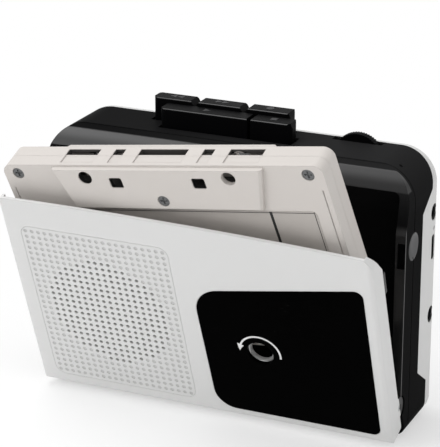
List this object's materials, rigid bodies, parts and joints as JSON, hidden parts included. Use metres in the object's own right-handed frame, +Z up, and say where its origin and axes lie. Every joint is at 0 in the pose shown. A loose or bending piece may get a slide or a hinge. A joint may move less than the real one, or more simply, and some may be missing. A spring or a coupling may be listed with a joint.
{
  "type": "portable cassette player",
  "caption": "Pocket cassette player with a black body, white back, drop-front speaker door and a cassette half way into its carrier.",
  "frame": {"origin": "middle of the body's foot, half way between the door seam and the flat back", "axes": "+X to the user's right at the front, +Y to the back, +Z up"},
  "size_m": [0.113, 0.0607, 0.0946],
  "materials": {
    "black_gloss": "glossy moulded",
    "white_gloss": "satin moulded",
    "lens_black": "high gloss",
    "black_plastic": "fine grain",
    "cassette_cream": "fine grain",
    "white_nylon": "moulded",
    "label_paper": "printed paper",
    "clear_pane": "clear",
    "tape_brown": "wound tape",
    "steel": "plain",
    "chrome": "polished",
    "brass": "turned",
    "black_rubber": "matte",
    "cone_paper": "pressed paper",
    "board_green": "lacquered",
    "cell_sleeve": "printed sleeve"
  },
  "bodies": {
    "frame": {"mid_frame": "black_gloss", "rear_shell": "white_gloss", "battery_cover": "white_gloss", "battery_tray": "black_plastic", "battery_cells": "cell_sleeve", "battery_contacts": "steel", "rear_screws": "steel", "hinge_pins": "steel", "chassis_plate": "steel", "chassis_screws": "steel", "drive_motor": "steel", "drive_belt": "black_rubber", "circuit_board": "board_green", "headphone_socket": "black_plastic", "line_socket": "black_plastic", "charging_socket": "black_plastic", "microphone": "steel", "volume_control": "black_plastic", "key_bracket": "steel", "key_springs": "steel"},
    "door": {"door_cover": "white_gloss", "speaker_grille": "white_gloss", "door_lens": "lens_black", "speaker_frame": "black_plastic", "speaker_cone": "cone_paper", "speaker_magnet": "steel", "tape_springs": "steel"},
    "cassette": {"cassette_front": "cassette_cream", "cassette_rear": "cassette_cream", "cassette_window": "clear_pane", "cassette_label": "label_paper", "cassette_screws": "steel", "tape_ribbon": "tape_brown", "pressure_pad": "brass"},
    "left_reel": {"left_hub": "white_nylon", "left_tape_pack": "tape_brown"},
    "right_reel": {"right_hub": "white_nylon", "right_tape_pack": "tape_brown"},
    "rewind_key": {"rewind_key": "black_gloss"},
    "forward_key": {"forward_key": "black_gloss"},
    "record_key": {"record_key": "black_gloss"},
    "play_key": {"play_key": "black_gloss"},
    "stop_key": {"stop_key": "black_gloss"},
    "head_carriage": {"head_plate": "steel", "play_head": "chrome", "erase_head": "black_plastic", "roller_arm": "steel"},
    "pinch_roller": {"pinch_roller": "black_rubber"},
    "flywheel": {"flywheel": "steel", "capstan": "chrome"},
    "motor_pulley": {"motor_pulley": "brass"},
    "idler_wheel": {"idler_wheel": "black_rubber"},
    "take_up_reel": {"take_up_wheel": "white_nylon", "take_up_spindle": "black_plastic"},
    "supply_reel": {"supply_spindle": "black_plastic", "brake_disc": "white_nylon"},
    "volume_wheel": {"volume_wheel": "black_plastic"}
  },
  "joints": [
    {"name": "door_hinge", "type": "hinge", "parent": "frame", "child": "door", "pos_m": [0, -0.0142, 0.0118], "axis": [1, 0, 0], "range_deg": [-20, 0]},
    {"name": "cassette_load", "type": "hinge", "parent": "door", "child": "cassette", "pos_m": [-0.15842, -0.02822, 0.05033], "axis": [0, -0.9397, -0.342], "range_deg": [-9, 0]},
    {"name": "left_reel_spin", "type": "hinge", "parent": "cassette", "child": "left_reel", "pos_m": [-0.02158, -0.02657, 0.05104], "axis": [0, 0.9397, 0.342], "continuous": true},
    {"name": "right_reel_spin", "type": "hinge", "parent": "cassette", "child": "right_reel", "pos_m": [0.02039, -0.02884, 0.05729], "axis": [0, 0.9397, 0.342], "continuous": true},
    {"name": "rewind_key_press", "type": "slide", "parent": "frame", "child": "rewind_key", "axis": [0, 0, -1], "range_m": [0, 0.003], "stiffness_N_per_m": 300, "springref_m": -0.001, "deforming": ["key_springs"]},
    {"name": "forward_key_press", "type": "slide", "parent": "frame", "child": "forward_key", "axis": [0, 0, -1], "range_m": [0, 0.003], "stiffness_N_per_m": 300, "springref_m": -0.001, "deforming": ["key_springs"]},
    {"name": "record_key_press", "type": "slide", "parent": "frame", "child": "record_key", "axis": [0, 0, -1], "range_m": [0, 0.003], "stiffness_N_per_m": 300, "springref_m": -0.001, "deforming": ["key_springs"]},
    {"name": "play_key_press", "type": "slide", "parent": "frame", "child": "play_key", "axis": [0, 0, -1], "range_m": [0, 0.003], "stiffness_N_per_m": 300, "springref_m": -0.001, "deforming": ["key_springs"]},
    {"name": "stop_key_press", "type": "slide", "parent": "frame", "child": "stop_key", "axis": [0, 0, -1], "range_m": [0, 0.003], "stiffness_N_per_m": 300, "springref_m": -0.001, "deforming": ["key_springs"]},
    {"name": "head_slide", "type": "slide", "parent": "frame", "child": "head_carriage", "axis": [0, 0, -1], "range_m": [0, 0.003]},
    {"name": "pinch_roller_spin", "type": "hinge", "parent": "head_carriage", "child": "pinch_roller", "pos_m": [0.0245, 0, 0.0721], "axis": [0, 1, 0], "continuous": true},
    {"name": "flywheel_spin", "type": "hinge", "parent": "frame", "child": "flywheel", "pos_m": [0.0205, 0, 0.0628], "axis": [0, 1, 0], "continuous": true},
    {"name": "motor_pulley_spin", "type": "hinge", "parent": "frame", "child": "motor_pulley", "pos_m": [-0.028, 0, 0.0578], "axis": [0, 1, 0], "continuous": true},
    {"name": "idler_spin", "type": "hinge", "parent": "frame", "child": "idler_wheel", "pos_m": [0.01998, 0, 0.0499], "axis": [0, 1, 0], "continuous": true},
    {"name": "take_up_spin", "type": "hinge", "parent": "frame", "child": "take_up_reel", "pos_m": [0.01925, 0, 0.0315], "axis": [0, 1, 0], "continuous": true},
    {"name": "supply_spin", "type": "hinge", "parent": "frame", "child": "supply_reel", "pos_m": [-0.02325, 0, 0.0315], "axis": [0, 1, 0], "continuous": true},
    {"name": "volume_turn", "type": "hinge", "parent": "frame", "child": "volume_wheel", "pos_m": [0.0335, 0, 0.0764], "axis": [0, 1, 0], "range_deg": [-135, 135]}
  ],
  "couplings": [
    {"joint": "cassette_load", "follows": "door_hinge", "ratio": 0.45},
    {"joint": "head_slide", "follows": "play_key_press", "ratio": 1},
    {"joint": "motor_pulley_spin", "follows": "flywheel_spin", "ratio": 3.8302},
    {"joint": "idler_spin", "follows": "flywheel_spin", "ratio": -0.4644},
    {"joint": "take_up_spin", "follows": "flywheel_spin", "ratio": 0.4211}
  ]
}
